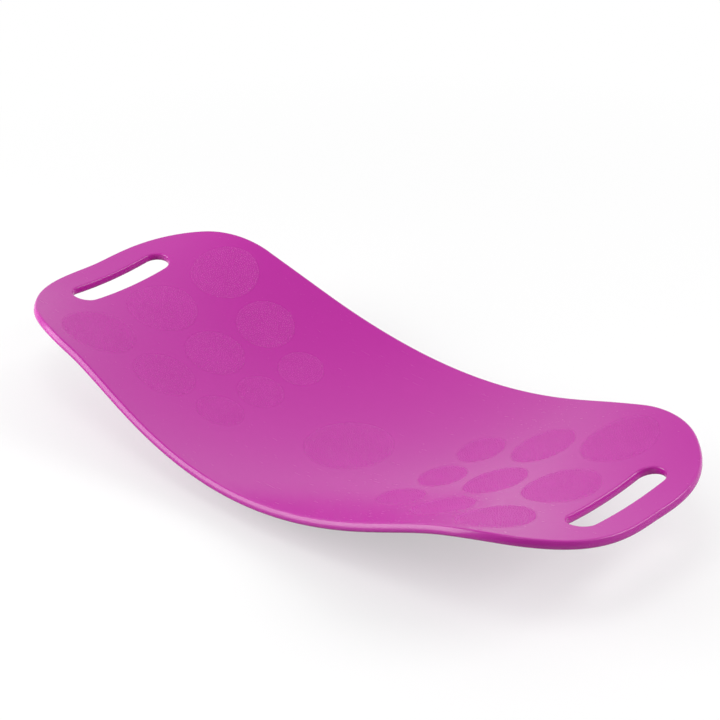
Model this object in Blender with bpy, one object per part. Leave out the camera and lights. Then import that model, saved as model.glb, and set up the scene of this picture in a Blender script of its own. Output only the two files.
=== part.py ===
"""A waist twisting board, in metres, +Z up, with the long way along X and the floor at Z = 0.

The board is a moulded plate that curves up to both ends and is dished across its width, so that it turns and
rocks on its convex underside. Each end has a hand slot and nine round foot grip pads, seated in shallow round
pockets, and a bare round medallion of the same grain fills the pocket in the middle.

Every piece is drawn flat first, with its top at Z = 0, then cut into strips and bent by one and the same rule,
so the pads and their pockets stay parallel wherever they lie on the board.
"""

import math

import bmesh
import bpy
from mathutils import Vector

# The deck's size, as seen from above, its plate, and how much of the plate a rounded edge may take
LENGTH = 0.660
WIDTH = 0.2796
THICKNESS = 0.0079
EDGE_RADIUS = 0.0036
WIDEST_EDGE = 0.46

# The outline of a quarter: middle of the long side, waist, shoulder and tip, joined by Bezier curves.
# An inset is counted in from the long side's middle, and a setback from the tip.
WAIST_INSET = 0.01565
WAIST_SETBACK = 0.1098
SHOULDER_INSET = 0.03635
SHOULDER_SETBACK = 0.0405
MIDDLE_REACH = 0.1035
WAIST_REACH_INWARD = 0.0407
WAIST_REACH_OUTWARD = 0.0205
SHOULDER_REACH_INWARD = 0.0237
SHOULDER_REACH_OUTWARD = 0.0594
TIP_REACH = 0.0264
WAIST_SLOPE = math.radians(1.6)
SHOULDER_SLOPE = math.radians(37.2)

# The lengthwise curve of the top face, from the middle outwards, as lengths of the four zones of a half
ROCKER_RADIUS = 0.415
ROCKER_ARC = 0.135
TURN_OVER = 0.075
REVERSE_RADIUS = 0.415
REVERSE_ARC = 0.0764
TURN_STRAIGHT = 0.0391

# How far the long edges stand above the centre line, in the middle, halfway out and at the tips
EDGE_RISE_MIDDLE = 0.0205
EDGE_RISE_HALFWAY = 0.0253
EDGE_RISE_TIP = 0.0205

# The hand slots
SLOT_LENGTH = 0.1084
SLOT_WIDTH = 0.0245
SLOT_SETBACK = 0.0389

# The grip pads stand in columns of three that fill the board's width between two side margins.
# From the slot inwards: name, margin to the waist's edge, gap between its pads, gap to the column outside it.
PAD_COLUMNS = (
    ("large", 0.01455, 0.0130, 0.0109),
    ("medium", 0.03475, 0.0084, 0.0096),
    ("small", 0.05305, 0.0079, 0.0099),
)
PADS_IN_A_COLUMN = 3
COLUMN_BOW_RADIUS = 1.35
MEDALLION_RADIUS = 0.0394

# How pads and medallion sit in their pockets
PAD_THICKNESS = 0.0012
PAD_PROUD = 0.0002
PAD_EDGE_RADIUS = 0.0003
SEAT_GAP = 0.0003

# The small flat that is left on the underside, where the board stands
REST_FLAT_DEPTH = 0.0005

# How finely the curved faces are divided
STRIP_LENGTH = 0.018
STRIP_WIDTH = 0.0215
OUTLINE_STEPS = 12
SLOT_STEPS = 6
EDGE_STEPS = 3
PAD_SIDE = 0.0062

# What counts as the same point, as on a cutting line, as flat and as an edge to round
SAME_POINT = 1e-6
ON_THE_LINE = 0.0002
FLAT_ANGLE = 0.001
SHARP_ANGLE = math.radians(35)

# Colours: linear RGB and roughness
MAGENTA_GLOSS = ((0.50, 0.03, 0.32), 0.18)
MAGENTA_MATTE = ((0.52, 0.06, 0.36), 0.55)

half_length = LENGTH / 2
half_width = WIDTH / 2
half_waist = half_width - WAIST_INSET
slot_x = half_length - SLOT_SETBACK
seat_depth = PAD_THICKNESS - PAD_PROUD + SEAT_GAP
top_centre_height = THICKNESS - REST_FLAT_DEPTH


def clear_scene():
    for obj in list(bpy.data.objects):
        bpy.data.objects.remove(obj, do_unlink=True)


def new_collection(name):
    collection = bpy.data.collections.new(name)
    bpy.context.scene.collection.children.link(collection)
    return collection


def plastic(name, colour, roughness):
    material = bpy.data.materials.new(name)
    material.use_nodes = True
    shader = material.node_tree.nodes["Principled BSDF"]
    shader.inputs["Base Color"].default_value = (*colour, 1)
    shader.inputs["Roughness"].default_value = roughness
    shader.inputs["Metallic"].default_value = 0
    return material


def ramp(x, start, length):
    """What a curvature that grows from 0 to 1 between start and start + length adds to the height at x."""
    end = start + length
    return (max(x - start, 0) ** 3 - max(x - end, 0) ** 3) / (6 * length)


def rocker_height(x):
    """The top face's centre line: a round rocker, turning over into a reverse curve that ends straight."""
    x = abs(x)
    rocker, reverse = 1 / ROCKER_RADIUS, 1 / REVERSE_RADIUS
    straight_from = ROCKER_ARC + TURN_OVER + REVERSE_ARC
    height = rocker * x**2 / 2
    height -= (rocker + reverse) * ramp(x, ROCKER_ARC, TURN_OVER)
    return height + reverse * ramp(x, straight_from, TURN_STRAIGHT)


def edge_rise(x):
    """An even curve in x through the three rises of the long edge."""
    share = (x / half_length) ** 2
    halfway, tip = EDGE_RISE_HALFWAY - EDGE_RISE_MIDDLE, EDGE_RISE_TIP - EDGE_RISE_MIDDLE
    first = (16 * halfway - tip) / 3
    return EDGE_RISE_MIDDLE + first * share + (tip - first) * share**2


def top_height(x, y):
    return rocker_height(x) + edge_rise(x) * (y / half_width) ** 2


def top_normal(x, y):
    """The direction square to the top face, from the slopes along and across the board."""
    step = STRIP_LENGTH / 100
    along = (top_height(x + step, y) - top_height(x - step, y)) / (2 * step)
    across = (top_height(x, y + step) - top_height(x, y - step)) / (2 * step)
    return Vector((-along, -across, 1)).normalized()


def bend(mesh):
    """Moves a flat mesh onto the board's curve: x and y stay, and depth is laid off square to the top face."""
    for vertex in mesh.verts:
        x, y, depth = vertex.co
        centre = Vector((x, y, top_centre_height + top_height(x, y)))
        vertex.co = centre + depth * top_normal(x, y)


def cut_into_strips(mesh):
    """Cuts a flat mesh along evenly spaced lines, so that it can follow a curve both ways."""
    for axis, step in ((Vector((1, 0, 0)), STRIP_LENGTH), (Vector((0, 1, 0)), STRIP_WIDTH)):
        places = [vertex.co.dot(axis) for vertex in mesh.verts]
        for index in range(math.ceil(min(places) / step), math.floor(max(places) / step) + 1):
            bmesh.ops.bisect_plane(
                mesh,
                geom=mesh.verts[:] + mesh.edges[:] + mesh.faces[:],
                dist=ON_THE_LINE,
                plane_co=axis * index * step,
                plane_no=axis,
            )


def outline_loop():
    """The Bezier points of the whole outline, each as (handle before, point, handle after), from the quarter's."""
    waist = Vector((half_length - WAIST_SETBACK, half_waist))
    shoulder = Vector((half_length - SHOULDER_SETBACK, half_width - SHOULDER_INSET))
    along_waist = Vector((math.cos(WAIST_SLOPE), -math.sin(WAIST_SLOPE)))
    along_shoulder = Vector((math.cos(SHOULDER_SLOPE), -math.sin(SHOULDER_SLOPE)))
    middle = Vector((0, half_width))
    tip = Vector((half_length, 0))
    reach = Vector((MIDDLE_REACH, 0))
    rise = Vector((0, TIP_REACH))
    quarter = [
        (middle - reach, middle, middle + reach),
        (waist - along_waist * WAIST_REACH_INWARD, waist, waist + along_waist * WAIST_REACH_OUTWARD),
        (
            shoulder - along_shoulder * SHOULDER_REACH_INWARD,
            shoulder,
            shoulder + along_shoulder * SHOULDER_REACH_OUTWARD,
        ),
        (tip + rise, tip, tip - rise),
    ]
    right = quarter + [flipped(points, 1, -1) for points in quarter[2::-1]]
    return right + [flipped(points, -1, 1) for points in right[-2:0:-1]]


def flipped(points, x_sign, y_sign):
    """A mirrored Bezier point. Mirroring turns the loop round, so its two handles change places."""
    before, point, after = (Vector((p.x * x_sign, p.y * y_sign)) for p in points)
    return after, point, before


def slot_loop(centre_x):
    """The Bezier points of a slot with round ends, long across the board."""
    radius = SLOT_WIDTH / 2
    straight = SLOT_LENGTH / 2 - radius
    round_reach = radius * 4 / 3 * math.tan(math.pi / 8)
    loop = []
    for side in (1, -1):
        for angle in (0, 90, 180):
            turn = math.radians(angle)
            outward = Vector((math.cos(turn), math.sin(turn))) * side
            onward = Vector((-outward.y, outward.x)) * round_reach
            point = Vector((centre_x, straight * side)) + outward * radius
            before = point - onward if angle else point
            after = point + onward if angle < 180 else point
            loop.append((before, point, after))
    return loop


def flat_plate(loops, thickness):
    """A plate with its top at Z = 0, from a filled 2D curve, with each face of the plate as few polygons."""
    curve = bpy.data.curves.new("plate_outline", "CURVE")
    curve.dimensions = "2D"
    curve.fill_mode = "BOTH"
    curve.extrude = thickness / 2
    for points, steps in loops:
        spline = curve.splines.new("BEZIER")
        spline.bezier_points.add(len(points) - 1)
        spline.use_cyclic_u = True
        spline.resolution_u = steps
        for knot, (before, point, after) in zip(spline.bezier_points, points):
            knot.handle_left_type = knot.handle_right_type = "FREE"
            knot.handle_left = before.to_3d()
            knot.co = point.to_3d()
            knot.handle_right = after.to_3d()
    holder = bpy.data.objects.new("plate_outline", curve)
    bpy.context.scene.collection.objects.link(holder)
    plate = evaluated_mesh(holder)
    bpy.data.objects.remove(holder, do_unlink=True)
    bpy.data.curves.remove(curve)
    bmesh.ops.remove_doubles(plate, verts=plate.verts, dist=SAME_POINT)
    bmesh.ops.dissolve_limit(plate, angle_limit=FLAT_ANGLE, verts=plate.verts, edges=plate.edges)
    bmesh.ops.translate(plate, verts=plate.verts, vec=(0, 0, -thickness / 2))
    return plate


def evaluated_mesh(obj):
    bpy.context.view_layer.update()
    graph = bpy.context.evaluated_depsgraph_get()
    data = bpy.data.meshes.new_from_object(obj.evaluated_get(graph))
    mesh = bmesh.new()
    mesh.from_mesh(data)
    bpy.data.meshes.remove(data)
    return mesh


def round_edges(mesh, edges, radius, steps):
    bmesh.ops.bevel(
        mesh,
        geom=edges,
        offset=radius,
        offset_type="OFFSET",
        segments=steps,
        profile=0.5,
        affect="EDGES",
        clamp_overlap=False,
    )


def flat_disc(radius, top, bottom, gap=0):
    """A round slice about the Z axis, between two heights. One that is wider by a gap has as many sides."""
    sides = 2 * round(math.pi * radius / PAD_SIDE)
    outer = radius + gap
    disc = bmesh.new()
    bmesh.ops.create_cone(
        disc, cap_ends=True, segments=sides, radius1=outer, radius2=outer, depth=top - bottom
    )
    bmesh.ops.translate(disc, verts=disc.verts, vec=(0, 0, (top + bottom) / 2))
    return disc


def add_object(name, mesh, collection, material=None):
    data = bpy.data.meshes.new(name)
    mesh.to_mesh(data)
    mesh.free()
    obj = bpy.data.objects.new(name, data)
    collection.objects.link(obj)
    if material:
        data.materials.append(material)
        data.shade_smooth()
        data.set_sharp_from_angle(angle=SHARP_ANGLE)
    return obj


def add_cutter(name, mesh, collection):
    cutter = add_object(name, mesh, collection)
    cutter.hide_render = True
    cutter.display_type = "WIRE"
    return cutter


def cut_with(obj, cutter):
    modifier = obj.modifiers.new(cutter.name, "BOOLEAN")
    modifier.operation = "DIFFERENCE"
    modifier.solver = "EXACT"
    modifier.object = cutter


def pad_places():
    """Name, radius and centre of every grip pad, column by column from each slot inwards."""
    places = []
    for end, side in (("left", -1), ("right", 1)):
        outer_x = slot_x - SLOT_WIDTH / 2
        for size, margin, row_gap, column_gap in PAD_COLUMNS:
            filled = 2 * (half_waist - margin) - (PADS_IN_A_COLUMN - 1) * row_gap
            radius = filled / PADS_IN_A_COLUMN / 2
            row_pitch = 2 * radius + row_gap
            middle_x = outer_x - column_gap - radius
            outer_x = middle_x - radius
            for row, step in (("front", -1), ("middle", 0), ("back", 1)):
                y = step * row_pitch
                x = middle_x - y**2 / (2 * COLUMN_BOW_RADIUS)
                places.append((f"grip_{size}_{end}_{row}", radius, side * x, y))
    return places


def pocket_discs(places):
    """All the pockets in one mesh, each wider than its pad by the gap and reaching well above the plate."""
    pockets = bmesh.new()
    for _, radius, x, y in places:
        pocket = flat_disc(radius, THICKNESS, -seat_depth, SEAT_GAP)
        bmesh.ops.translate(pocket, verts=pocket.verts, vec=(x, y, 0))
        data = bpy.data.meshes.new("pocket")
        pocket.to_mesh(data)
        pockets.from_mesh(data)
        bpy.data.meshes.remove(data)
        pocket.free()
    return pockets


def block_below_floor():
    block = bmesh.new()
    bmesh.ops.create_cube(block, size=1)
    bmesh.ops.scale(block, vec=(half_length, half_width, THICKNESS), verts=block.verts)
    bmesh.ops.translate(block, vec=(0, 0, -THICKNESS / 2), verts=block.verts)
    return block


def make_deck(places, parts, cutters, material):
    """The moulded board. The plate is in strips before its pockets are cut, which keeps each cut face small."""
    loops = [(outline_loop(), OUTLINE_STEPS)]
    loops += [(slot_loop(side * slot_x), SLOT_STEPS) for side in (-1, 1)]
    plate = flat_plate(loops, THICKNESS)
    rims = [edge for edge in plate.edges if edge.calc_face_angle() > SHARP_ANGLE]
    round_edges(plate, rims, min(EDGE_RADIUS, WIDEST_EDGE * THICKNESS), EDGE_STEPS)
    cut_into_strips(plate)

    blank = add_object("deck_blank", plate, parts)
    cut_with(blank, add_cutter("pad_pockets", pocket_discs(places), cutters))
    pocketed = evaluated_mesh(blank)
    bpy.data.objects.remove(blank, do_unlink=True)
    shape_to_board(pocketed)
    deck = add_object("deck", pocketed, parts, material)
    cut_with(deck, add_cutter("rest_flat", block_below_floor(), cutters))


def shape_to_board(mesh):
    """Strips, triangles, then the bend: what every piece goes through last."""
    cut_into_strips(mesh)
    bmesh.ops.triangulate(mesh, faces=mesh.faces)
    bend(mesh)


def make_pad(name, radius, x, y, parts, material):
    pad = flat_disc(radius, PAD_PROUD, PAD_PROUD - PAD_THICKNESS)
    top_rim = [edge for edge in pad.edges if all(vertex.co.z > 0 for vertex in edge.verts)]
    round_edges(pad, top_rim, PAD_EDGE_RADIUS, 1)
    bmesh.ops.translate(pad, verts=pad.verts, vec=(x, y, 0))
    shape_to_board(pad)
    add_object(name, pad, parts, material)


def main():
    clear_scene()
    parts = new_collection("waist_twisting_board")
    cutters = new_collection("cutters")
    gloss = plastic("magenta_gloss", *MAGENTA_GLOSS)
    matte = plastic("magenta_matte", *MAGENTA_MATTE)
    grips = pad_places()
    medallion = ("centre_medallion", MEDALLION_RADIUS, 0, 0)
    make_deck([*grips, medallion], parts, cutters, gloss)
    for place in [*grips, medallion]:
        make_pad(*place, parts, matte)


main()
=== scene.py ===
# %% [markdown]
# # A waist twisting board
#
# The real board is one stiff plate of glossy magenta plastic that curves up to both ends and is dished across
# its width. A person stands on it with both feet on the round matte grips, and twists and rocks it on its
# convex underside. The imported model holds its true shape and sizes. It is loaded first and stays as it is.
# What follows builds a finer piece for each of its nodes, along the same curve, and gives each piece its
# finish.

import math

import bmesh
import bpy
from mathutils import Matrix, Vector
from mathutils.geometry import delaunay_2d_cdt, interpolate_bezier
from mathutils.kdtree import KDTree


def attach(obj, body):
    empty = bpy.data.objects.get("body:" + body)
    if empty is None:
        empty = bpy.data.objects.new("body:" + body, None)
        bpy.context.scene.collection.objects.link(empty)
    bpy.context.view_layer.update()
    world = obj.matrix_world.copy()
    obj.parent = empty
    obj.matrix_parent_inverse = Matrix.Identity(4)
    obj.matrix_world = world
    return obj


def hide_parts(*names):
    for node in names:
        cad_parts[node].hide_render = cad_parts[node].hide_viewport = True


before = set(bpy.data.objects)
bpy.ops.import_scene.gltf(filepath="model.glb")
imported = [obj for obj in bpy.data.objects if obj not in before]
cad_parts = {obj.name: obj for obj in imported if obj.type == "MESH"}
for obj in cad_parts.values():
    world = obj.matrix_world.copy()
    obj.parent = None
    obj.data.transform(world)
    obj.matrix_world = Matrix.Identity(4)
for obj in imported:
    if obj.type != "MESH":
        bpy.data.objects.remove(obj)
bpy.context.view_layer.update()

# %% [markdown]
# ## Formulas as nodes
#
# The board's curve is a formula, and Geometry Nodes can bend any flat mesh along it. A chain of Math nodes is
# long to write and hard to read, though. The small class below stands for one socket that carries a value,
# and every sign that is written with it adds the Math node for that sum. A formula then reads as it does on
# paper, in the geometry trees and in the materials alike.

# %% A wire that does sums
class Wire:
    """One output socket. Each sum with it adds a Math node to its tree."""

    def __init__(self, socket):
        self.socket = socket

    def __add__(self, other):
        return calculate("ADD", self, other)

    def __sub__(self, other):
        return calculate("SUBTRACT", self, other)

    def __mul__(self, other):
        return calculate("MULTIPLY", self, other)

    def __truediv__(self, other):
        return calculate("DIVIDE", self, other)

    def __radd__(self, other):
        return calculate("ADD", other, self)

    def __rsub__(self, other):
        return calculate("SUBTRACT", other, self)

    def __rtruediv__(self, other):
        return calculate("DIVIDE", other, self)


def feed(socket, value):
    """Links a wire to an input, or types a plain value into it."""
    if isinstance(value, Wire):
        value.socket.id_data.links.new(value.socket, socket)
    else:
        socket.default_value = value


def calculate(operation, *values):
    """Adds one Math node to the tree that the wires among the values belong to."""
    tree = next(value.socket.id_data for value in values if isinstance(value, Wire))
    node = tree.nodes.new("ShaderNodeMath")
    node.operation = operation
    for socket, value in zip(node.inputs, values):
        feed(socket, value)
    return Wire(node.outputs[0])


# %% [markdown]
# Other nodes are added by one helper too. It sets a node's properties, feeds its inputs by name, and gives
# its outputs back as wires. A node such as Mix keeps several sockets of one name and shows one of them, so
# only the sockets that are switched on count. Vectors are taken apart and put together so often that this has
# helpers of its own.

# %% Add nodes and start trees
def add_node(tree, kind, inputs=None, **settings):
    node = tree.nodes.new(kind)
    for name, value in settings.items():
        setattr(node, name, value)
    sockets = {socket.name: socket for socket in node.inputs if socket.enabled}
    for name, value in (inputs or {}).items():
        feed(sockets[name], value)
    return {socket.name: Wire(socket) for socket in node.outputs if socket.enabled}


def split(tree, vector):
    """The X, Y and Z of a vector, by name."""
    return add_node(tree, "ShaderNodeSeparateXYZ", {"Vector": vector})


def as_vector(tree, **parts):
    """A vector from its X, Y and Z. A part that isn't given is 0."""
    return add_node(tree, "ShaderNodeCombineXYZ", parts)["Vector"]


def start_tree(name, inputs, outputs):
    """A new geometry tree, the wires of its named inputs, and a function that fills its named outputs."""
    tree = bpy.data.node_groups.new(name, "GeometryNodeTree")
    for label, kind in inputs.items():
        tree.interface.new_socket(label, in_out="INPUT", socket_type=f"NodeSocket{kind}")
    for label, kind in outputs.items():
        tree.interface.new_socket(label, in_out="OUTPUT", socket_type=f"NodeSocket{kind}")
    given = {socket.name: Wire(socket) for socket in tree.nodes.new("NodeGroupInput").outputs}
    leaving = tree.nodes.new("NodeGroupOutput")

    def fill(**wires):
        for label, wire in wires.items():
            feed(leaving.inputs[label], wire)

    return tree, given, fill


# %% [markdown]
# ## The rule of the board's curve
#
# Seen from the side, the board is a round rocker in the middle. Further out its curvature fades, turns over
# into a reverse curve and fades again, so that both ends run out nearly straight. Take a curvature that grows
# evenly from 0 to 1 over some length. At a distance d past its start it has added a slope of d squared over
# twice that length, and a height of d cubed over six times it. Past its end the same terms, from the end on,
# are taken off, and the curvature stays at 1. That is the first small tree, and the whole side view is a sum
# of such ramps.

# %% The height and slope that a growing curvature adds
ramp_tree, given, fill = start_tree(
    "curvature_ramp",
    {"Along": "Float", "Start": "Float", "Length": "Float"},
    {"Height": "Float", "Slope": "Float"},
)
past_start = calculate("MAXIMUM", given["Along"] - given["Start"], 0)
past_end = calculate("MAXIMUM", given["Along"] - given["Start"] - given["Length"], 0)
cubes = calculate("POWER", past_start, 3) - calculate("POWER", past_end, 3)
squares = calculate("POWER", past_start, 2) - calculate("POWER", past_end, 2)
fill(Height=cubes / (given["Length"] * 6), Slope=squares / (given["Length"] * 2))
print("curvature_ramp has", len(ramp_tree.nodes), "nodes")

# %% [markdown]
# Across its width the board is a shallow dish, whose long edges stand highest about halfway out to the ends.
# The second tree adds both curves up and bends whatever flat mesh comes in: x and y stay where they are, and
# what was the depth below the flat top is laid off square to the curved one. The plate so keeps its
# thickness, and grips and pockets stay parallel wherever they lie. The sizes are the tree's named inputs, in
# metres.

# %% Sizes of the curve
LENGTH = 0.660
WIDTH = 0.2796
THICKNESS = 0.0079
REST_FLAT_DEPTH = 0.0005
BOARD_CURVE = {
    "Rocker Radius": 0.415,
    "Rocker Arc": 0.135,
    "Turn Over": 0.075,
    "Reverse Radius": 0.415,
    "Reverse Arc": 0.0764,
    "Turn Straight": 0.0391,
    "Edge Rise Middle": 0.0205,
    "Edge Rise Halfway": 0.0253,
    "Edge Rise Tip": 0.0205,
    "Half Length": LENGTH / 2,
    "Half Width": WIDTH / 2,
    "Top Height": THICKNESS - REST_FLAT_DEPTH,
}
print("the plate is", LENGTH, "by", WIDTH, "m and", THICKNESS, "m thick")

# %% The side view as a sum of ramps
bend_tree, given, fill = start_tree(
    "bend_to_the_board",
    {"Geometry": "Geometry"} | dict.fromkeys(BOARD_CURVE, "Float") | {"Material": "Material"},
    {"Geometry": "Geometry"},
)
flat = split(bend_tree, add_node(bend_tree, "GeometryNodeInputPosition")["Position"])
x, y, depth = flat["X"], flat["Y"], flat["Z"]


def ramp(start, length):
    inputs = {"Along": calculate("ABSOLUTE", x), "Start": start, "Length": length}
    return add_node(bend_tree, "GeometryNodeGroup", inputs, node_tree=ramp_tree)


rocker, reverse = 1 / given["Rocker Radius"], 1 / given["Reverse Radius"]
over = ramp(given["Rocker Arc"], given["Turn Over"])
straight = ramp(given["Rocker Arc"] + given["Turn Over"] + given["Reverse Arc"], given["Turn Straight"])
side_height = rocker * x * x / 2 - (rocker + reverse) * over["Height"] + reverse * straight["Height"]
bends = reverse * straight["Slope"] - (rocker + reverse) * over["Slope"]
side_slope = rocker * x + calculate("SIGN", x) * bends
print("the side view takes", len(bend_tree.nodes), "nodes")

# %% The dish across, as an even curve through three rises
halfway = given["Edge Rise Halfway"] - given["Edge Rise Middle"]
tip = given["Edge Rise Tip"] - given["Edge Rise Middle"]
first = (halfway * 16 - tip) / 3
share = x * x / (given["Half Length"] * given["Half Length"])
rise = given["Edge Rise Middle"] + first * share + (tip - first) * share * share
rise_slope = (first + (tip - first) * share * 2) * x * 2 / (given["Half Length"] * given["Half Length"])
across = y / given["Half Width"]
print("with the dish it takes", len(bend_tree.nodes), "nodes")


# %% Lay each point's depth off square to the curved top
def move_points(tree, geometry, **how):
    """Gives the points a new Position, or shifts them by an Offset."""
    return add_node(tree, "GeometryNodeSetPosition", {"Geometry": geometry} | how)["Geometry"]


def one_painted_mesh(tree, geometry, material):
    """What every tree here ends in: one real mesh with one material."""
    whole = add_node(tree, "GeometryNodeRealizeInstances", {"Geometry": geometry})["Geometry"]
    painted = add_node(tree, "GeometryNodeSetMaterial", {"Geometry": whole, "Material": material})
    return painted["Geometry"]


slope_along = side_slope + rise_slope * across * across
slope_across = rise * across * 2 / given["Half Width"]
steepness = calculate("SQRT", slope_along * slope_along + slope_across * slope_across + 1)
bent_place = as_vector(
    bend_tree,
    X=x - depth * slope_along / steepness,
    Y=y - depth * slope_across / steepness,
    Z=given["Top Height"] + side_height + rise * across * across + depth / steepness,
)
bent = move_points(bend_tree, given["Geometry"], Position=bent_place)
fill(Geometry=one_painted_mesh(bend_tree, bent, given["Material"]))
print("bend_to_the_board has", len(bend_tree.nodes), "nodes")

# %% [markdown]
# ## The magenta plastic
#
# The board's plastic is dyed right through: a deep magenta with next to no green in it. Its paleness in the
# light is gloss, not colour. A moulded face is never quite even. It has a faint orange peel a few millimetres
# wide, streaks where the melt flowed, and hair-fine rubs from handling. Colour, gloss and bump each get a
# little of this from noise on Object coordinates, which stay with the piece. Most marks are a noise that
# fades in between two of its levels, so a helper does that too.

# %% Helpers for textures and finishes
PLASTIC_IOR = 1.47


def start_finish(name):
    """A new plastic, its tree, its shader and its Object coordinates."""
    material = bpy.data.materials.new(name)
    material.use_nodes = True
    tree = material.node_tree
    shader = tree.nodes["Principled BSDF"]
    shader.inputs["IOR"].default_value = PLASTIC_IOR
    coordinates = add_node(tree, "ShaderNodeTexCoord")["Object"]
    return material, tree, shader, coordinates


def speckle(tree, coordinates, size, detail=2, stretch=(1, 1, 1)):
    """Noise between 0 and 1 whose patches are about size metres across, or longer along one axis."""
    inputs = {"Vector": coordinates, "Scale": tuple(1 / part for part in stretch)}
    scaled = add_node(tree, "ShaderNodeMapping", inputs)["Vector"]
    inputs = {"Vector": scaled, "Scale": 1 / size, "Detail": detail}
    return add_node(tree, "ShaderNodeTexNoise", inputs)["Fac"]


def clamp(value):
    return calculate("MINIMUM", calculate("MAXIMUM", value, 0), 1)


def fade(value, start, full):
    """Grows evenly from 0, where the value is at start, to 1, where it is at full."""
    return clamp((value - start) / (full - start))


def blend_colours(tree, amount, first_colour, second_colour):
    inputs = {"Factor": amount, "A": (*first_colour, 1), "B": (*second_colour, 1)}
    return add_node(tree, "ShaderNodeMix", inputs, data_type="RGBA")["Result"]


def bumps(tree, relief, depth):
    """The normals of a relief that is given between 0 and 1, and whose depth is in metres."""
    inputs = {"Strength": 1.0, "Distance": depth, "Height": relief}
    return add_node(tree, "ShaderNodeBump", inputs)["Normal"]


# %% Streaks, mottle, rubs and peel of the deck
gloss, tree, shader, coordinates = start_finish("magenta_gloss")
flow = speckle(tree, coordinates, size=0.11, detail=3, stretch=(3.5, 1, 1))
mottle = speckle(tree, coordinates, size=0.012)
hairs = speckle(tree, coordinates, size=0.0016, detail=3, stretch=(22, 1, 1))
rubs = fade(hairs, start=0.6444, full=0.7556)
peel = speckle(tree, coordinates, size=0.0045, detail=1)
print("the deck's first marks take", len(tree.nodes), "nodes")

# %% [markdown]
# The board turns on its underside, and the floor rubs fine arcs into it round the place where it rests. They
# come from noise that changes fast with the distance from the middle and slowly round it. The angle's
# absolute value leaves no seam where it jumps from half a turn to minus half. Two sizes shape them: the width
# of an arc, in metres, and how far it reaches round, in radians. One mask keeps the arcs to faces that look
# down, and another lets them fade out away from the middle.

# %% Arcs that twisting rubs into the underside
ARC_WIDTH, ARC_ANGLE = 0.0009, 0.45
spot = split(tree, coordinates)
from_middle = calculate("SQRT", spot["X"] * spot["X"] + spot["Y"] * spot["Y"])
round_middle = calculate("ABSOLUTE", calculate("ARCTAN2", spot["Y"], spot["X"]))
arcs = as_vector(tree, X=from_middle, Y=round_middle * (ARC_WIDTH / ARC_ANGLE))
facing = split(tree, add_node(tree, "ShaderNodeNewGeometry")["Normal"])
underneath = fade(facing["Z"], start=-0.7333, full=-0.9)
near_middle = fade(from_middle, start=0.105, full=0.035)
rubbed = fade(speckle(tree, arcs, size=ARC_WIDTH, detail=4), start=0.5143, full=0.6571)
twist_rubs = rubbed * underneath * near_middle
print("with the arcs they take", len(tree.nodes), "nodes")

# %% Join the deck's colour, gloss and bump
MAGENTA_DEEP = (0.460, 0.008, 0.315)
MAGENTA_LIGHT = (0.490, 0.012, 0.336)
DECK_ROUGHNESS = 0.21
PEEL_DEPTH = 0.00004
tint = clamp(flow * 0.7 + mottle * 0.3 + twist_rubs * 0.6)
relief = peel + rubs * 0.03 - twist_rubs * 0.15
feed(shader.inputs["Base Color"], blend_colours(tree, tint, MAGENTA_DEEP, MAGENTA_LIGHT))
feed(shader.inputs["Roughness"], DECK_ROUGHNESS + flow * 0.07 + rubs * 0.05 + twist_rubs * 0.22)
feed(shader.inputs["Normal"], bumps(tree, relief, PEEL_DEPTH))
print("magenta_gloss has", len(tree.nodes), "nodes")

# %% [markdown]
# The round grips and the medallion are the same plastic with a moulded grain: low studs, and a fine sandy
# ground between them that is duller than the deck. The studs carry an attribute that runs from 0 at their
# foot to 1 at their top. The finish reads it to make the tops a little smoother, and much lighter and paler
# in colour. That lightness is a painted highlight, where the tops would catch the light.

# %% The matte grain finish
BETWEEN_STUDS = (0.455, 0.012, 0.312)
# The stud tops' lighter, paler colour is a painted highlight.
STUD_TOP_PAINTED_HIGHLIGHT = (0.620, 0.048, 0.450)
STUD_LEVEL = "stud_height"
SAND_DEPTH = 0.00002


def grain_finish(name, roughness):
    material, tree, shader, coordinates = start_finish(name)
    top = add_node(tree, "ShaderNodeAttribute", attribute_name=STUD_LEVEL)["Fac"]
    sand = speckle(tree, coordinates, size=0.0007, detail=3)
    patches = speckle(tree, coordinates, size=0.03)
    # The higher a point on a stud, the more it takes the painted highlight colour.
    tint = clamp(patches * 0.2 + top * 0.9 - 0.05)
    feed(shader.inputs["Base Color"], blend_colours(tree, tint, BETWEEN_STUDS, STUD_TOP_PAINTED_HIGHLIGHT))
    feed(shader.inputs["Roughness"], sand * 0.12 - top * 0.08 + roughness)
    feed(shader.inputs["Normal"], bumps(tree, sand, SAND_DEPTH))
    return material


grip_grain = grain_finish("grip_grain", roughness=0.34)
medallion_grain = grain_finish("medallion_grain", roughness=0.28)
print("grip_grain has", len(grip_grain.node_tree.nodes), "nodes")

# %% [markdown]
# ## The flat plate
#
# Like a drawing of the mould, the deck starts flat: one quarter of the outline in Bezier points, mirrored
# twice, with a round-ended slot for a hand near each end. A few points with handles give a finer line than
# any number of hand-placed corners, and one changed size moves the whole edge. Each point is measured in from
# the long side and back from the end, and its slope says how far its handles are turned inwards, in degrees.

# %% Bezier points of the outline's quarter
WAIST_INSET = 0.01565


def towards(angle):
    """A direction of length 1 in the plan, turned that far from the X axis."""
    return Vector((math.cos(angle), math.sin(angle)))


def outline_point(inset, setback, slope, inward, outward):
    """A point between its two handles. Their lengths are inward, to the board's middle, and outward."""
    point = Vector((LENGTH / 2 - setback, WIDTH / 2 - inset))
    along = towards(-math.radians(slope))
    return point - along * inward, point, point + along * outward


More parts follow.
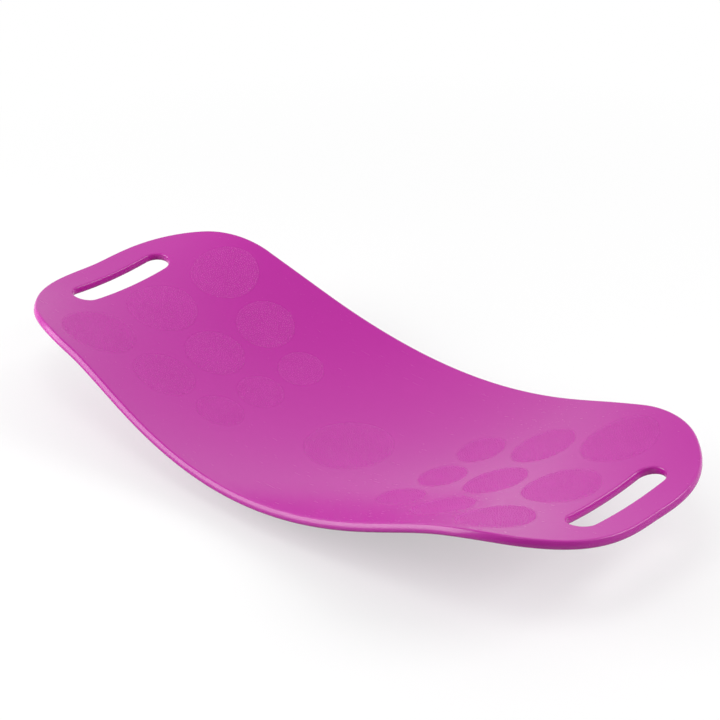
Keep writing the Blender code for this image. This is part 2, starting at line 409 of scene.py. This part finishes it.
middle = outline_point(inset=0, setback=LENGTH / 2, slope=0, inward=0.1035, outward=0.1035)
waist = outline_point(inset=WAIST_INSET, setback=0.1098, slope=1.6, inward=0.0407, outward=0.0205)
shoulder = outline_point(inset=0.03635, setback=0.0405, slope=37.2, inward=0.0237, outward=0.0594)
end = outline_point(inset=WIDTH / 2, setback=0, slope=90, inward=0.0264, outward=0.0264)
quarter = [middle, waist, shoulder, end]
print("the waist lies at", *(round(part * 1000, 1) for part in waist[1]), "mm")


# %% Mirror the quarter into the whole loop
def flipped(points, x_sign, y_sign):
    """A mirrored Bezier point. Mirroring turns the loop round, so its two handles change places."""
    before, point, after = (Vector((p.x * x_sign, p.y * y_sign)) for p in points)
    return after, point, before


right_half = quarter + [flipped(points, 1, -1) for points in quarter[2::-1]]
outline = right_half + [flipped(points, -1, 1) for points in right_half[-2:0:-1]]
print("the outline has", len(outline), "Bezier points")

# %% [markdown]
# Each rim becomes a list of points, each with the direction that points out of the plastic there. For the
# outline that is outwards, and for a slot or a pocket it is into the hole. With these directions one recipe
# can round every edge. All rims run anticlockwise, because the triangulation further down takes that for the
# inside.

# %% The outline as a rim
RIM_STEP = 0.0026


def outline_rim():
    points = []
    for (_, start, leaving), (arriving, stop, _) in zip(outline, outline[1:] + outline[:1]):
        corners = [corner.to_3d() for corner in (start, leaving, arriving, stop)]
        steps = round((stop - start).length / RIM_STEP)
        points += [point.to_2d() for point in interpolate_bezier(*corners, steps + 1)[:-1]]
    points.reverse()
    rim = []
    for before, point, after in zip(points[-1:] + points[:-1], points, points[1:] + points[:1]):
        along = (after - before).normalized()
        rim.append((point, Vector((along.y, -along.x))))
    return rim


deck_rim = outline_rim()
print("the outline's rim has", len(deck_rim), "points; the first looks", deck_rim[0][1])

# %% Slots and rounds as rims
SLOT_LENGTH, SLOT_WIDTH = 0.1084, 0.0245
SLOT_SETBACK = 0.0389
SLOT_X = LENGTH / 2 - SLOT_SETBACK


def slot_rim(centre_x, arc_steps=22, straight_steps=30):
    """A slot with round ends, long across the board. The plastic lies outside it."""
    radius, half_straight = SLOT_WIDTH / 2, (SLOT_LENGTH - SLOT_WIDTH) / 2
    rim = []
    for side in (1, -1):
        for step in range(arc_steps):
            out = towards(math.pi * step / arc_steps) * side
            rim.append((Vector((centre_x, half_straight * side)) + out * radius, -out))
        for step in range(straight_steps):
            across = half_straight * side * (1 - 2 * step / straight_steps)
            rim.append((Vector((centre_x - radius * side, across)), Vector((side, 0))))
    return rim


def round_rim(centre, radius, facing, gap=0):
    """A circle whose plastic lies inside it where facing is 1, and outside it where facing is -1."""
    sides = 4 * round(math.tau * radius / RIM_STEP / 4)
    outs = [towards(math.tau * number / sides) for number in range(sides)]
    return [(Vector(centre) + out * (radius + gap), out * facing) for out in outs]


slot_rims = [slot_rim(-SLOT_X), slot_rim(SLOT_X)]
print("a slot's rim has", len(slot_rims[0]), "points")

# %% [markdown]
# ## Where the grips lie
#
# Each end has nine round grips in three sizes, in columns of three that bow towards the slot. Each column
# fills the board's width between two margins, so its grips' radius follows from these and from the gaps
# between them. The medallion in the middle is one more round, and stays bare.

# %% Places and radii of all the rounds
MEDALLION_RADIUS = 0.0394
COLUMN_BOW_RADIUS = 1.35
ROWS = {"front": -1, "middle": 0, "back": 1}
COLUMNS = {
    "large": {"margin": 0.01455, "row_gap": 0.0130, "column_gap": 0.0109},
    "medium": {"margin": 0.03475, "row_gap": 0.0084, "column_gap": 0.0096},
    "small": {"margin": 0.05305, "row_gap": 0.0079, "column_gap": 0.0099},
}
rounds = [("centre_medallion", MEDALLION_RADIUS, (0, 0))]
for end_name, side in (("left", -1), ("right", 1)):
    outer_x = SLOT_X - SLOT_WIDTH / 2
    for size, column in COLUMNS.items():
        filled = WIDTH - 2 * (WAIST_INSET + column["margin"]) - (len(ROWS) - 1) * column["row_gap"]
        radius = filled / len(ROWS) / 2
        middle_x = outer_x - column["column_gap"] - radius
        outer_x = middle_x - radius
        for row, step in ROWS.items():
            row_y = step * (2 * radius + column["row_gap"])
            row_x = middle_x - row_y**2 / (2 * COLUMN_BOW_RADIUS)
            rounds.append((f"grip_{size}_{end_name}_{row}", radius, (side * row_x, row_y)))
for name, radius, centre in rounds:
    print(f"{name}: radius {radius * 1000:.1f} mm, centre", [round(part * 1000, 1) for part in centre])

# %% [markdown]
# ## From rims to a solid
#
# A rim is swept through a profile: rows that step inwards from the edge and down. The light on the real
# board's edge shows its form: a bright line just below the top face, and under it a wall that bulges gently
# and has no line of its own. So the profile has a small round corner, then a bulged wall, then a wider round
# into the bottom face. The rounds sit in shallow pockets, whose edges are only broken.

# %% Profiles as pairs of inset and depth
CORNER_STEPS, WALL_STEPS, FOOT_STEPS = 6, 5, 8


def quarter_round(radius, steps):
    angles = [math.pi / 2 * step / steps for step in range(steps + 1)]
    return [(radius * (1 - math.sin(angle)), -radius * (1 - math.cos(angle))) for angle in angles]


def bulged_edge(corner_radius, bulge, foot_radius):
    """From the top face to the bottom one. The bulge is the angle by which the wall's upper end looks up."""
    wall_height = THICKNESS - foot_radius
    wall_radius = (wall_height - corner_radius * (1 - math.sin(bulge))) / math.sin(bulge)
    wall_inset = wall_radius * (1 - math.cos(bulge))
    rows = []
    for step in range(CORNER_STEPS):
        angle = math.pi / 2 + (bulge - math.pi / 2) * step / CORNER_STEPS
        inset = wall_inset + corner_radius * (math.cos(bulge) - math.cos(angle))
        rows.append((inset, -corner_radius * (1 - math.sin(angle))))
    for step in range(WALL_STEPS):
        angle = bulge * (1 - step / WALL_STEPS)
        rows.append((wall_radius * (1 - math.cos(angle)), wall_radius * math.sin(angle) - wall_height))
    foot = reversed(quarter_round(foot_radius, FOOT_STEPS))
    return rows + [(inset, -THICKNESS - depth) for inset, depth in foot]


PAD_DEPTH, SEAT_GAP = 0.0010, 0.00002
POCKET_BREAK, PAD_BREAK = 0.00003, 0.00005
edge_profile = bulged_edge(corner_radius=0.0018, bulge=math.radians(22), foot_radius=0.0030)
pocket_profile = quarter_round(POCKET_BREAK, steps=1) + [(0, -PAD_DEPTH - SEAT_GAP)]
pad_profile = quarter_round(PAD_BREAK, steps=2) + [(0, -PAD_DEPTH)]
print("rows round the edge:", len(edge_profile))

# %% [markdown]
# The flat faces between the rims need points all over, because a face can only follow a curve at its corners.
# A Delaunay triangulation makes an even net from a triangular grid of points and keeps the rims as they are.
# It also says which loops each triangle lies in, and that tells the top face from a pocket's floor and from a
# slot's hole.

# %% Fill flat faces with an even net
NET_SIDE = 0.0055
LOOP_CLEARANCE = NET_SIDE * 0.4
SAME_POINT = 1e-7
ALL_TRIANGLES = 0


def net_points(loops):
    """The loops' corners, and a triangular grid inside their box with no point close to a loop."""
    corners = [vertex.co.to_2d() for loop in loops for vertex in loop]
    near = KDTree(len(corners))
    for number, corner in enumerate(corners):
        near.insert(corner.to_3d(), number)
    near.balance()
    low_x, high_x = min(corner.x for corner in corners), max(corner.x for corner in corners)
    low_y, high_y = min(corner.y for corner in corners), max(corner.y for corner in corners)
    row_height = NET_SIDE * math.sqrt(3) / 2
    grid = [
        Vector(((column + row % 2 / 2) * NET_SIDE, row * row_height))
        for row in range(math.ceil(low_y / row_height), math.floor(high_y / row_height) + 1)
        for column in range(math.floor(low_x / NET_SIDE), math.ceil(high_x / NET_SIDE) + 1)
    ]
    return corners, [point for point in grid if near.find(point.to_3d())[2] > LOOP_CLEARANCE]


def fill_net(mesh, loops, floors):
    """Fills the first loop. Other loops stay open, or get a floor between the vertices that floors gives."""
    corners, grid = net_points(loops)
    faces, owners = [], []
    for number, loop in enumerate(loops):
        faces.append(range(len(owners), len(owners) + len(loop)))
        owners += [(number, place) for place in range(len(loop))]
    net = delaunay_2d_cdt(corners + grid, [], faces, ALL_TRIANGLES, SAME_POINT)
    points, _, triangles, origins, _, inside = net
    made = {}

    def corner_vertex(index, floor):
        origin = origins[index][0]
        if origin < len(owners):
            number, place = owners[origin]
            return floors[number][place] if floor and number == floor else loops[number][place]
        if index not in made:
            depth = floors[floor][0].co.z if floor else loops[0][0].co.z
            made[index] = mesh.verts.new((*points[index], depth))
        return made[index]

    for triangle, lies_in in zip(triangles, inside):
        floor = max(lies_in, default=None)
        if floor == 0 or floor in floors:
            mesh.faces.new([corner_vertex(index, floor) for index in triangle])


# %% Sweep the rims and close the solid
def sweep(mesh, rim, profile):
    """The rows of vertices from a rim's upper edge down, with a band of faces between each two."""
    rows = []
    for inset, depth in profile:
        rows.append([mesh.verts.new((*(point - out * inset), depth)) for point, out in rim])
    for upper, lower in zip(rows, rows[1:]):
        for here in range(len(rim)):
            before = here - 1
            mesh.faces.new((upper[before], lower[before], lower[here], upper[here]))
    return rows


def build_flat(rims):
    """A flat solid from pairs of a rim and its profile, the outline first.

    A rim whose last row isn't at the bottom is a pocket's, and gets a floor there.
    """
    mesh = bmesh.new()
    swept = [sweep(mesh, rim, profile) for rim, profile in rims]
    bottom, *depths = (profile[-1][1] for _, profile in rims)
    pockets = {number: swept[number][-1] for number, depth in enumerate(depths, 1) if depth > bottom}
    fill_net(mesh, [rows[0] for rows in swept], pockets)
    fill_net(mesh, [rows[-1] for number, rows in enumerate(swept) if number not in pockets], {})
    bmesh.ops.recalc_face_normals(mesh, faces=mesh.faces)
    return mesh


rims = [(rim, edge_profile) for rim in (deck_rim, *slot_rims)]
rims += [(round_rim(centre, radius, -1, SEAT_GAP), pocket_profile) for _, radius, centre in rounds]
flat_deck = build_flat(rims)
print("open edges:", sum(not edge.is_manifold for edge in flat_deck.edges), "faces:", len(flat_deck.faces))
print("volume:", round(flat_deck.calc_volume() * 1e6, 1), "cubic cm")

# %% [markdown]
# ## Bend the deck
#
# The tree bends the plate. A Boolean then leaves the small flat on the underside that the board stands on,
# and Weighted Normal lets the broad faces rule the shading next to the narrow rounded ones, so that the gloss
# runs evenly up to the edge. What the modifiers make is kept as a plain mesh.

# %% Objects, modifiers, and keeping what they make
SHARP_ANGLE = math.radians(35)


def as_object(name, mesh):
    data = bpy.data.meshes.new(name)
    mesh.to_mesh(data)
    mesh.free()
    data.shade_smooth()
    data.set_sharp_from_angle(angle=SHARP_ANGLE)
    obj = bpy.data.objects.new(name, data)
    bpy.context.scene.collection.objects.link(obj)
    return obj


def add_tree(obj, tree, values):
    """Adds a Geometry Nodes modifier. Each value goes in by its socket's identifier."""
    modifier = obj.modifiers.new(tree.name, "NODES")
    modifier.node_group = tree
    for socket in tree.interface.items_tree:
        if socket.in_out == "INPUT" and socket.name in values:
            modifier[socket.identifier] = values[socket.name]


def keep_result(obj):
    """Turns what the modifiers make into the object's own mesh, and gives its count of triangles."""
    even = obj.modifiers.new("even_shading", "WEIGHTED_NORMAL")
    even.keep_sharp = True
    graph = bpy.context.evaluated_depsgraph_get()
    made = bpy.data.meshes.new_from_object(
        obj.evaluated_get(graph), preserve_all_data_layers=True, depsgraph=graph
    )
    obj.modifiers.clear()
    flat_data, obj.data = obj.data, made
    bpy.data.meshes.remove(flat_data)
    made.name = obj.name
    return sum(len(face.vertices) - 2 for face in made.polygons)


# %% The finished deck
CUTTER_SIDE = 0.2
deck = as_object("deck_shell", flat_deck)
add_tree(deck, bend_tree, BOARD_CURVE | {"Material": gloss})
below_floor = bmesh.new()
bmesh.ops.create_cube(below_floor, size=CUTTER_SIDE)
bmesh.ops.translate(below_floor, verts=below_floor.verts, vec=(0, 0, -CUTTER_SIDE / 2))
floor_cutter = as_object("below_floor", below_floor)
cut = deck.modifiers.new("rest_flat", "BOOLEAN")
cut.operation, cut.solver, cut.object = "DIFFERENCE", "EXACT", floor_cutter
print("deck_shell has", keep_result(deck), "triangles")
bpy.data.objects.remove(floor_cutter)
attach(deck, "root")
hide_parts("deck")

# %% [markdown]
# ## The studs of the grips
#
# Hundreds of small studs on every grip are work for Geometry Nodes. The studs stand in rings, so that the
# last ring runs neatly along the grip's edge: ring k holds 6k studs, which keeps them as far apart along a
# ring as the rings are from each other. A point's index says which ring it is in and where, by the sum that
# counts rings of 6k. Every ring is turned against the one inside it, so that no rays of studs show. Each stud
# is a low dome of 17 faces, made from a cone whose height is rounded off, and is turned, sized and shifted a
# little at random, with a fixed seed.

# %% Rings of points
RING_TURN = 2.4
WHOLE_NUMBER_SLACK = 0.001
stud_tree, given, fill = start_tree(
    "grip_studs",
    {
        "Geometry": "Geometry", "Centre": "Vector", "Pad Radius": "Float", "Edge Margin": "Float",
        "Ring Pitch": "Float", "Stud Radius": "Float", "Stud Height": "Float", "Scatter": "Float",
        "Seed": "Int", "Material": "Material",
    },
    {"Geometry": "Geometry"},
)
reach = given["Pad Radius"] - given["Edge Margin"]
ring_count = calculate("ROUND", reach / given["Ring Pitch"])
index = add_node(stud_tree, "GeometryNodeInputIndex")["Index"]
ring = calculate("CEIL", (calculate("SQRT", index * 12 + 9) - 3) / 6 - WHOLE_NUMBER_SLACK)
place_in_ring = (index - 1 - ring * (ring - 1) * 3) / calculate("MAXIMUM", ring * 6, 1)
turn = place_in_ring * math.tau + ring * RING_TURN
from_centre = ring * reach / ring_count
ring_place = as_vector(
    stud_tree, X=from_centre * calculate("COSINE", turn), Y=from_centre * calculate("SINE", turn)
)
stud_count = ring_count * (ring_count + 1) * 3 + 1
points = add_node(
    stud_tree, "GeometryNodePoints", {"Count": stud_count, "Position": ring_place}
)["Points"]
print("the rings take", len(stud_tree.nodes), "nodes")

# %% One stud, a dome
cone = add_node(
    stud_tree, "GeometryNodeMeshCone",
    {"Vertices": 8, "Side Segments": 2, "Radius Top": 0.0, "Radius Bottom": 1.0, "Depth": 1.0},
    fill_type="NGON",
)["Mesh"]
level = split(stud_tree, add_node(stud_tree, "GeometryNodeInputPosition")["Position"])["Z"]
dome_height = 1 - (1 - level) * (1 - level)
dome = add_node(
    stud_tree, "GeometryNodeStoreNamedAttribute",
    {"Geometry": cone, "Name": STUD_LEVEL, "Value": dome_height},
    data_type="FLOAT", domain="POINT",
)["Geometry"]
dome = move_points(stud_tree, dome, Offset=as_vector(stud_tree, Z=dome_height - level))
print("with the dome they take", len(stud_tree.nodes), "nodes")


# %% Studs on all the points
def chance(low, high, extra_seed):
    inputs = {"Min": low, "Max": high, "Seed": given["Seed"] + extra_seed}
    return add_node(stud_tree, "FunctionNodeRandomValue", inputs, data_type="FLOAT")["Value"]


shift = as_vector(
    stud_tree, X=chance(-1.0, 1.0, 1) * given["Scatter"], Y=chance(-1.0, 1.0, 2) * given["Scatter"]
)
points = move_points(stud_tree, points, Offset=shift)
points = move_points(stud_tree, points, Offset=given["Centre"])
width = given["Stud Radius"] * chance(0.82, 1.12, 3)
spin = chance(0.0, math.tau, 4)
height = given["Stud Height"] * chance(0.8, 1.15, 5)
copies = add_node(stud_tree, "GeometryNodeInstanceOnPoints", {
    "Points": points,
    "Instance": dome,
    "Rotation": as_vector(stud_tree, Z=spin),
    "Scale": as_vector(stud_tree, X=width, Y=width, Z=height),
})["Instances"]
join = stud_tree.nodes.new("GeometryNodeJoinGeometry")
for part in (copies, given["Geometry"]):
    feed(join.inputs[0], part)
fill(Geometry=one_painted_mesh(stud_tree, Wire(join.outputs[0]), given["Material"]))
print("grip_studs has", len(stud_tree.nodes), "nodes")

# %% [markdown]
# ## The grips and the medallion
#
# Each round is a thin flat disc that lies flush in its pocket, with a hair's breadth of gap all round, so
# that only its studs stand proud of the deck. The studs go on while it is flat. It is then bent by the same
# tree as the deck, so it fits its pocket everywhere.

# %% Make and seat every round
STUDS = {
    "Edge Margin": 0.0014, "Ring Pitch": 0.0020, "Stud Radius": 0.00066, "Stud Height": 0.00034,
    "Scatter": 0.00050,
}
STUD_SINK = 0.00002
total = 0
for number, (name, radius, centre) in enumerate(rounds):
    is_medallion = name == "centre_medallion"
    material = medallion_grain if is_medallion else grip_grain
    disc = build_flat([(round_rim(centre, radius, 1), pad_profile)])
    piece = as_object(name.replace("grip", "studded_grip").replace("centre", "grained"), disc)
    add_tree(piece, stud_tree, STUDS | {
        "Centre": (*centre, -STUD_SINK), "Pad Radius": radius, "Seed": number * 10, "Material": material,
    })
    add_tree(piece, bend_tree, BOARD_CURVE | {"Material": material})
    total += keep_result(piece)
    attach(piece, "root")
    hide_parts(name)
print(len(rounds), "rounds with", total, "triangles")

# %% [markdown]
# ## Floor, light and camera
#
# The photograph is a plain catalogue picture on white. The floor keeps the board's soft shadow, made faint by
# a white glow that only the camera sees and that takes over further out. To bounced light the floor is a mid
# grey, or it would lift the board's edge too much.

# %% The floor
FLOOR_HALF_SIDE, FLOOR_GAP = 5, 0.0001
PALE, PALE_TO_BOUNCES = 0.93, 0.52
GLOW_IN_MIDDLE, ALL_GLOW_FROM = 0.4, 0.9
floor_mesh = bmesh.new()
bmesh.ops.create_grid(floor_mesh, x_segments=1, y_segments=1, size=FLOOR_HALF_SIDE)
bmesh.ops.translate(floor_mesh, verts=floor_mesh.verts, vec=(0, 0, -FLOOR_GAP))
floor = as_object("floor", floor_mesh)
paper = bpy.data.materials.new("white_paper")
paper.use_nodes = True
tree = paper.node_tree
tree.nodes.clear()
place = add_node(tree, "ShaderNodeTexCoord")["Object"]
distance = add_node(tree, "ShaderNodeVectorMath", {"Vector": place}, operation="LENGTH")["Value"]
rays = add_node(tree, "ShaderNodeLightPath")
glow_there = calculate("MINIMUM", distance * ((1 - GLOW_IN_MIDDLE) / ALL_GLOW_FROM) + GLOW_IN_MIDDLE, 1)
grey = PALE - rays["Is Diffuse Ray"] * (PALE - PALE_TO_BOUNCES)
diffuse = add_node(tree, "ShaderNodeBsdfDiffuse", {"Color": as_vector(tree, X=grey, Y=grey, Z=grey)})["BSDF"]
glow = add_node(tree, "ShaderNodeEmission", {"Color": (1, 1, 1, 1), "Strength": 1.0})["Emission"]
mix = tree.nodes.new("ShaderNodeMixShader")
for socket, wire in zip(mix.inputs, (glow_there * rays["Is Camera Ray"], diffuse, glow)):
    feed(socket, wire)
feed(tree.nodes.new("ShaderNodeOutputMaterial").inputs["Surface"], Wire(mix.outputs[0]))
floor.data.materials.append(paper)
print("white_paper has", len(tree.nodes), "nodes")

# %% [markdown]
# The world is white to the camera. In reflections it is white too, but darker straight overhead and behind
# the camera, as the dark upper slope and the deep colour of the near edge show in the photograph. As a light
# it is weaker, and comes more from behind the board than from in front.

# %% The world
DARKER_OVERHEAD, DARKER_IN_FRONT = 0.3, 0.6
LIGHT, MORE_FROM_BEHIND, MORE_FROM_THE_RIGHT = 0.458, 0.44, 0.03
world = bpy.data.worlds.new("white_studio")
world.use_nodes = True
bpy.context.scene.world = world
tree = world.node_tree
background = tree.nodes["Background"]
rays = add_node(tree, "ShaderNodeLightPath")
white = clamp(rays["Is Camera Ray"] + rays["Is Glossy Ray"] + rays["Is Transmission Ray"])
direction = split(tree, add_node(tree, "ShaderNodeTexCoord")["Generated"])
overhead = fade(direction["Z"], start=0.80, full=0.97)
in_front = fade(direction["X"] - direction["Y"], start=0.5714, full=1.2857)
mirrored = 1 - (overhead * DARKER_OVERHEAD + in_front * DARKER_IN_FRONT) * rays["Is Glossy Ray"]
fill_light = LIGHT + direction["Y"] * MORE_FROM_BEHIND + direction["X"] * MORE_FROM_THE_RIGHT
background.inputs["Color"].default_value = (1, 1, 1, 1)
feed(background.inputs["Strength"], white * mirrored + (1 - white) * fill_light)
print("white_studio has", len(tree.nodes), "nodes")

# %% [markdown]
# Three soft lamps add form. They hang to the sides and high up, in directions that the top face doesn't
# mirror to the camera, so they show as a bright line on the edge and nowhere as a patch on the deck. A
# fourth, small and close to the floor, brightens the near edge towards the left end, as in the photograph.
# Reflections don't show it.

# %% The lamps
def direction_to(azimuth, elevation):
    """Where something stands, seen from the board: 0 degrees is in front, and 90 at the right hand slot."""
    turn, lift = math.radians(azimuth), math.radians(elevation)
    return Vector((math.sin(turn) * math.cos(lift), -math.cos(turn) * math.cos(lift), math.sin(lift)))


def add_lamp(name, azimuth, elevation, distance, size, power, in_reflections=True):
    """A square soft lamp that looks at the board."""
    direction = direction_to(azimuth, elevation)
    data = bpy.data.lights.new(name, "AREA")
    data.shape, data.size, data.energy = "SQUARE", size, power
    lamp = bpy.data.objects.new(name, data)
    lamp.location = direction * distance
    lamp.rotation_euler = (-direction).to_track_quat("-Z", "Y").to_euler()
    lamp.visible_glossy = in_reflections
    bpy.context.scene.collection.objects.link(lamp)
    print(name, "at", lamp.location)


add_lamp("key_lamp", azimuth=-45, elevation=24, distance=2.2, size=1.6, power=38)
add_lamp("edge_lamp", azimuth=-58, elevation=5, distance=0.95, size=0.2, power=2, in_reflections=False)
add_lamp("fill_lamp", azimuth=130, elevation=35, distance=2.2, size=1.1, power=20)
add_lamp("top_lamp", azimuth=25, elevation=72, distance=2.2, size=0.8, power=8)

# %% [markdown]
# The camera stands to the front and right of the board and some way above it, with a long lens. Its place,
# its slight roll and its lens were solved together with the board's curve, so that outline, slots and circles
# fall where the photograph has them. Its axes are worked out from its direction, and then rolled.

# %% The camera
AZIMUTH, ELEVATION, ROLL = 44.548, 28.641, math.radians(-1.717)
AIM, DISTANCE = Vector((-0.0169, 0.0339, 0.0733)), 2.024
FOCAL_LENGTH = 116.84
back, right = direction_to(AZIMUTH, ELEVATION), direction_to(AZIMUTH + 90, 0)
turned = Matrix((right, back.cross(right), back)).transposed() @ Matrix.Rotation(ROLL, 3, "Z")
camera_data = bpy.data.cameras.new("camera")
camera_data.lens = FOCAL_LENGTH
camera_data.clip_start, camera_data.clip_end = 0.05, 50
camera = bpy.data.objects.new("camera", camera_data)
bpy.context.scene.collection.objects.link(camera)
camera.matrix_world = Matrix.Translation(AIM + back * DISTANCE) @ turned.to_4x4()
bpy.context.scene.camera = camera
bpy.context.scene.view_settings.view_transform = "Standard"
print("camera at", camera.location)
